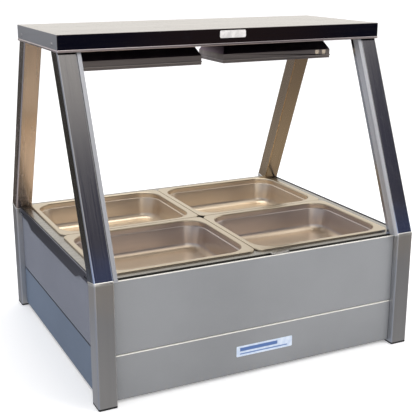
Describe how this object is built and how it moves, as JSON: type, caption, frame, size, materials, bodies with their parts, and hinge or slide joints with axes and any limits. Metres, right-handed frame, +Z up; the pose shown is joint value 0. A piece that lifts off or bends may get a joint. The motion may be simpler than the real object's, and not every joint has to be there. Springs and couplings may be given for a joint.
{
  "type": "steam table unit",
  "caption": "Countertop steam table: half-size pans over a heated water tank in a grey cabinet, with leaning tube arms carrying a canopy of heat lamps.",
  "frame": {"origin": "centre of the base, on the surface the feet stand on", "axes": "+X along the counter, -Y towards the customer, +Z up"},
  "size_m": [0.7188, 0.613, 0.684],
  "materials": {
    "brushed": "brushed stainless steel tube",
    "canopy_steel": "polished stainless steel sheet",
    "deck_steel": "brushed stainless steel sheet",
    "pan_steel": "bright drawn stainless steel",
    "tank_steel": "dull stainless steel",
    "panel_grey": "matte grey coated steel",
    "zinc": "zinc-plated sheet steel",
    "foot_black": "black moulded plastic",
    "black_plastic": "black moulded plastic",
    "lamp_steel": "polished stainless steel sheet",
    "reflector": "polished reflector sheet",
    "quartz": "quartz tube",
    "ceramic": "glazed ceramic",
    "element": "dark heat-stained sheath",
    "insulation": "mineral fibre board",
    "brass": "plated brass",
    "lever_red": "red vinyl sleeve on steel",
    "label": "pale blue plate",
    "badge": "plain bright plate",
    "dial": "pale printed dial",
    "lens_amber": "amber lens",
    "screw": "stainless screws"
  },
  "bodies": {
    "frame": {"leg_front_left": "brushed", "arm_front_left": "brushed", "leg_front_right": "brushed", "arm_front_right": "brushed", "leg_rear_left": "brushed", "arm_rear_left": "brushed", "leg_rear_right": "brushed", "arm_rear_right": "brushed", "foot_caps": "foot_black", "duct_left": "brushed", "duct_right": "brushed", "front_panel_upper": "panel_grey", "front_panel_lower": "panel_grey", "side_panel_upper_left": "panel_grey", "side_panel_lower_left": "panel_grey", "side_panel_upper_right": "panel_grey", "side_panel_lower_right": "panel_grey", "rear_panel_upper": "panel_grey", "rear_panel_lower": "panel_grey", "rear_panel_screws": "screw", "base_plate": "zinc", "deck": "deck_steel", "side_strip_left": "deck_steel", "side_strip_right": "deck_steel", "side_strip_screws": "screw", "front_clip": "screw", "label_plate": "label", "water_tank": "tank_steel", "pan_divider": "deck_steel", "heating_element": "element", "element_clamps": "zinc", "insulation_slab": "insulation", "thermostat": "brass", "dial_plate": "dial", "switch_housings": "black_plastic", "indicator_lens": "lens_amber", "cable_gland": "black_plastic", "terminal_block": "black_plastic", "drain_pipe": "tank_steel", "drain_valve": "brass", "canopy": "canopy_steel", "canopy_cover": "canopy_steel", "canopy_screws": "screw", "badge": "badge", "lamp_housing_left": "lamp_steel", "lamp_housing_right": "lamp_steel", "lamp_reflectors": "reflector", "lamp_holders": "ceramic", "quartz_lamps": "quartz", "lamp_terminals": "ceramic"},
    "pan_front_left": {"pan_front_left": "pan_steel"},
    "pan_front_right": {"pan_front_right": "pan_steel"},
    "pan_rear_left": {"pan_rear_left": "pan_steel"},
    "pan_rear_right": {"pan_rear_right": "pan_steel"},
    "thermostat_knob": {"thermostat_knob": "black_plastic"},
    "power_rocker": {"power_rocker": "black_plastic"},
    "lamp_rocker": {"lamp_rocker": "black_plastic"},
    "drain_lever": {"drain_lever": "lever_red"}
  },
  "joints": [
    {"name": "pan_front_left_lift", "type": "slide", "parent": "frame", "child": "pan_front_left", "axis": [0.2516, 0, 0.9678], "range_m": [0, 0.084]},
    {"name": "pan_front_right_lift", "type": "slide", "parent": "frame", "child": "pan_front_right", "axis": [-0.2516, 0, 0.9678], "range_m": [0, 0.172]},
    {"name": "pan_rear_left_lift", "type": "slide", "parent": "frame", "child": "pan_rear_left", "axis": [0.2516, 0, 0.9678], "range_m": [0, 0.084]},
    {"name": "pan_rear_right_lift", "type": "slide", "parent": "frame", "child": "pan_rear_right", "axis": [-0.2516, 0, 0.9678], "range_m": [0, 0.172]},
    {"name": "thermostat_turn", "type": "hinge", "parent": "frame", "child": "thermostat_knob", "pos_m": [-0.19, 0.2983, 0.178], "axis": [0, 1, 0], "range_deg": [0, 270]},
    {"name": "power_rocker_tilt", "type": "hinge", "parent": "frame", "child": "power_rocker", "pos_m": [-0.06, 0.289, 0.178], "axis": [1, 0, 0], "range_deg": [0, 18]},
    {"name": "lamp_rocker_tilt", "type": "hinge", "parent": "frame", "child": "lamp_rocker", "pos_m": [-0.1, 0.289, 0.178], "axis": [1, 0, 0], "range_deg": [0, 18]},
    {"name": "drain_lever_turn", "type": "hinge", "parent": "frame", "child": "drain_lever", "pos_m": [0.225, 0.2615, 0.081], "axis": [0, 0, 1], "range_deg": [0, 90]}
  ]
}
